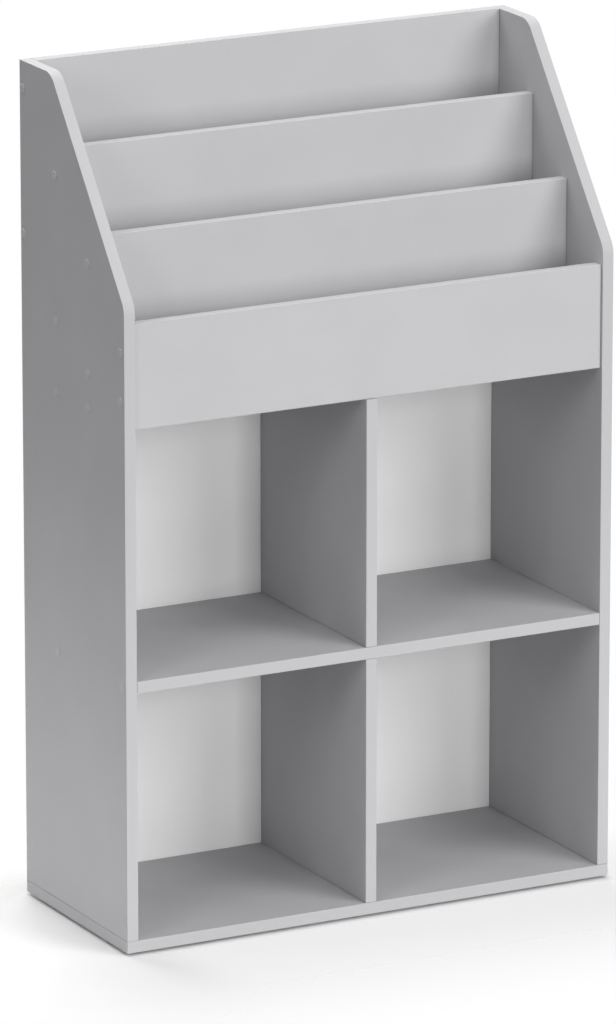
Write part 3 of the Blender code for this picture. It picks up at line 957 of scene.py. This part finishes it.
def modelScrew(length, headRadius):
    core, shank, rim = screwShape["coreRadius"], screwShape["shankRadius"], screwShape["rim"]
    top = -screwShape["shankEnd"] - (shank - core)
    bottom = -length + screwShape["pointLength"]
    profile = [
        (headRadius - rim, 0.0),
        (headRadius, -rim),
        (headRadius, -2 * rim),
        (shank, -screwShape["headHeight"]),
        (shank, -screwShape["shankEnd"]),
        (core, top),
        (core, bottom),
        (core * screwShape["tip"], -length),
    ]
    screw = turnedPiece("screw_pattern", screwShape["sides"], profile)
    cutThread(screw, top, bottom)
    cutSocket(screw)
    finishPiece(screw, screwSteel)
    return screw


def longAxis(name):
    low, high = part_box(name)
    size = list(high - low)
    axis = Vector((0, 0, 0))
    axis[size.index(max(size))] = 1.0
    return axis, (low + high) / 2, max(size), sorted(size)[1] / 2      # axis, centre, length, radius


def headDirection(name, axis, centre, length):
    ends = {1: 0.0, -1: 0.0}
    for point in nodes[name].data.vertices:      # the head is the wider end
        along = (point.co - centre).dot(axis)
        if abs(along) > screwShape["endShare"] * length:
            aside = (point.co - centre - axis * along).length
            end = 1 if along > 0 else -1
            ends[end] = max(ends[end], aside)
    return axis * max(ends, key=ends.get)


screwNames = [name for name in nodes if slotOf[name] == "screw_steel"]
_, _, screwLength, headRadius = longAxis(screwNames[0])
screwPattern = modelScrew(screwLength, headRadius)
for name in screwNames:
    axis, centre, length, _ = longAxis(name)
    outward = headDirection(name, axis, centre, length)
    head = centre + outward * length / 2
    piece = placeCopy(screwPattern, name + "_threaded", head, outward)
    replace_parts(piece, name)
bpy.data.objects.remove(screwPattern)
print("screws set:", len(screwNames))


# Fluted dowels, in place of the plain ones
dowelShape = {
    "chamfer": 0.001,
    "flutes": 14,
    "fluteDepth": 0.0003,
    "linesPerFlute": 3,
}


def modelDowel(length, radius):
    half, chamfer = length / 2, dowelShape["chamfer"]
    profile = [
        (radius - chamfer, half),
        (radius, half - chamfer),
        (radius, chamfer - half),
        (radius - chamfer, -half),
    ]
    sides = dowelShape["linesPerFlute"] * dowelShape["flutes"]
    dowel = turnedPiece("dowel_pattern", sides, profile)
    bpy.ops.mesh.select_mode(type="VERT")
    bpy.ops.mesh.select_all(action="DESELECT")
    bpy.ops.object.mode_set(mode="OBJECT")
    for point in dowel.data.vertices:      # one line of each flute is its bottom
        line = round(atan2(point.co.y, point.co.x) / (2 * pi) * sides)
        onBarrel = abs(point.co.z) < half - chamfer / 2
        point.select = onBarrel and line % dowelShape["linesPerFlute"] == 0
    bpy.ops.object.mode_set(mode="EDIT")
    share = 1 - dowelShape["fluteDepth"] / radius
    bpy.ops.transform.resize(value=(share, share, 1))
    bpy.ops.mesh.select_mode(type="FACE")
    finishPiece(dowel, sharedFinish["dowel_wood"])
    return dowel


dowelNames = [name for name in nodes if slotOf[name] == "dowel_wood"]
_, _, dowelLength, dowelRadius = longAxis(dowelNames[0])
dowelPattern = modelDowel(dowelLength, dowelRadius)
for name in dowelNames:
    axis, centre, _, _ = longAxis(name)
    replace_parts(placeCopy(dowelPattern, name + "_fluted", centre, axis), name)
bpy.data.objects.remove(dowelPattern)
print("dowels set:", len(dowelNames))


# Moulded glides with a barbed pin, in place of the plain ones
glideShape = {
    "seatGap": 0.0003,      # under the base panel
    "edge": 0.0014,         # rounding of the sole
    "edgeSteps": 5,
    "collar": 0.0004,
    "pinRadius": 0.002,
    "pinTip": 0.5,          # in radii of the pin
    "soleRing": 0.5,        # in radii of the glide
    "barbs": 4,
    "barbDepth": 0.0004,
    "sides": 40,
}


def modelGlide(height, pinLength, radius):
    pin, gap = glideShape["pinRadius"], glideShape["seatGap"]
    edge, collar, steps = glideShape["edge"], glideShape["collar"], glideShape["edgeSteps"]
    profile = [(pin * glideShape["pinTip"], pinLength)]
    barbStep = pinLength / (glideShape["barbs"] + 1)
    for barb in range(glideShape["barbs"]):      # each barb widens downwards and steps back in
        foot = pinLength - (barb + 1) * barbStep
        profile += [(pin, foot), (pin - glideShape["barbDepth"], foot)]
    profile += [
        (pin - glideShape["barbDepth"], -gap),
        (radius - collar, -gap),
        (radius, -gap - collar),
    ]
    for step in range(steps + 1):
        turn = step / steps * pi / 2
        profile.append((radius - edge * (1 - cos(turn)), -height + edge * (1 - sin(turn))))
    profile.append((radius * glideShape["soleRing"], -height))
    glide = turnedPiece("glide_pattern", glideShape["sides"], profile)
    finishPiece(glide, sharedFinish["glide_plastic"])
    return glide


glideNames = [name for name in nodes if slotOf[name] == "glide_plastic"]
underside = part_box("base_panel")[0].z
low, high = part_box(glideNames[0])
glidePattern = modelGlide(underside - low.z, high.z - underside, (high.x - low.x) / 2)
for name in glideNames:
    low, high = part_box(name)
    centre = (low + high) / 2
    seat = (centre.x, centre.y, underside)
    piece = placeCopy(glidePattern, name + "_moulded", seat, (0, 0, 1))
    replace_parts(piece, name)
bpy.data.objects.remove(glidePattern)
print("glides set:", len(glideNames))
